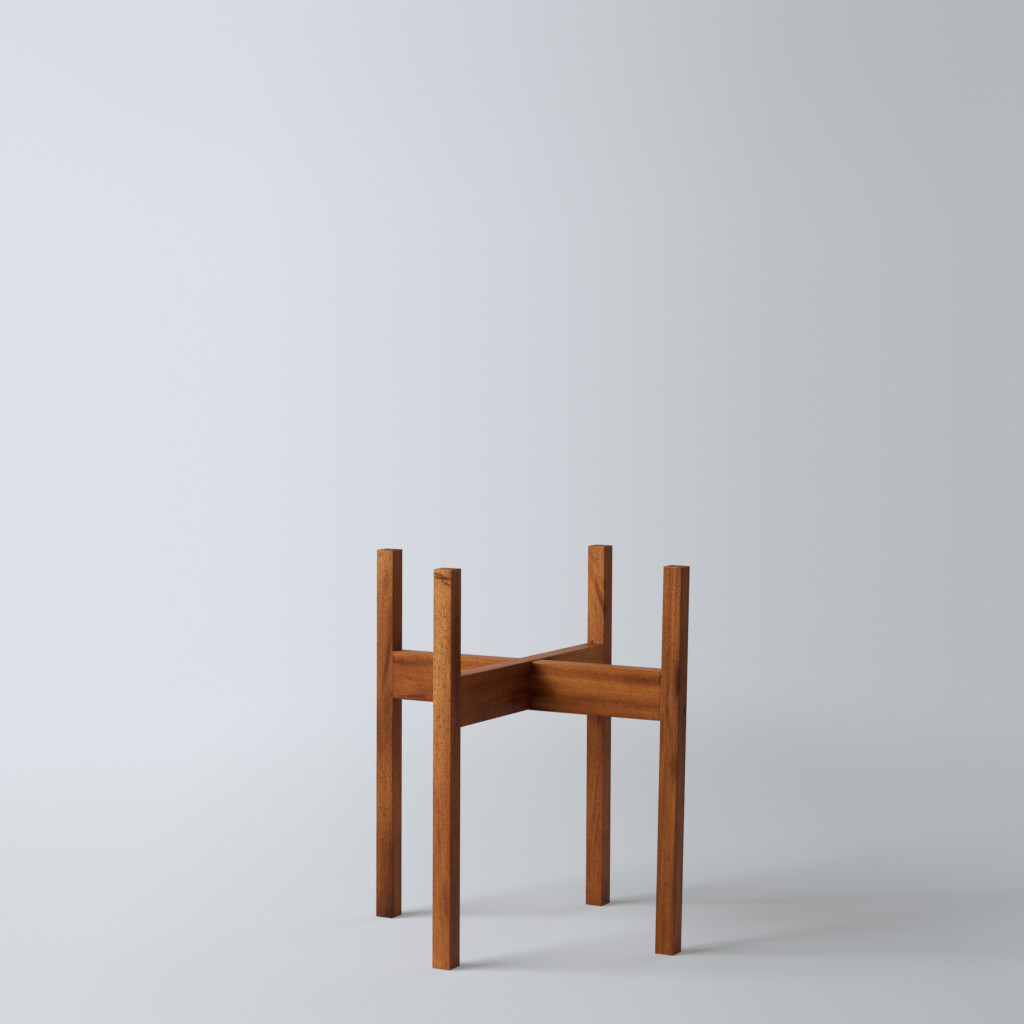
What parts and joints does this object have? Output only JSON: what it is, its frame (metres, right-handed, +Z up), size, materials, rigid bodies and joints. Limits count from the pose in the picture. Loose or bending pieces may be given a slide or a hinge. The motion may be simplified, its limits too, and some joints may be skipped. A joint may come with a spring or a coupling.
{
  "type": "plant stand",
  "caption": "Low wooden plant stand: square legs on two rails that cross in a half lap; a pot stands on the crossing, between the legs.",
  "frame": {"origin": "on the floor under the middle of the crossing, which is the middle of the footprint", "axes": "+Z up; +X along the lower rail, from the rear left leg to the front right leg; +Y along the upper rail, from the front left leg to the rear right leg"},
  "size_m": [0.3519, 0.35, 0.39],
  "materials": {
    "leg_wood": "oiled hardwood, satin, grain along the leg",
    "rail_wood": "oiled hardwood, satin, grain along the rail",
    "dowel_wood": "raw beech, fluted"
  },
  "bodies": {
    "lower_frame": {"lower_rail": "rail_wood", "leg_rear_left": "leg_wood", "leg_front_right": "leg_wood", "dowel_rear_left_top": "dowel_wood", "dowel_rear_left_bottom": "dowel_wood", "dowel_front_right_top": "dowel_wood", "dowel_front_right_bottom": "dowel_wood"},
    "upper_frame": {"upper_rail": "rail_wood", "leg_front_left": "leg_wood", "leg_rear_right": "leg_wood", "dowel_front_left_top": "dowel_wood", "dowel_front_left_bottom": "dowel_wood", "dowel_rear_right_top": "dowel_wood", "dowel_rear_right_bottom": "dowel_wood"}
  },
  "joints": [
    {"name": "lift_off", "type": "slide", "parent": "lower_frame", "child": "upper_frame", "axis": [0, 0, 1], "range_m": [0, 0.06]}
  ]
}
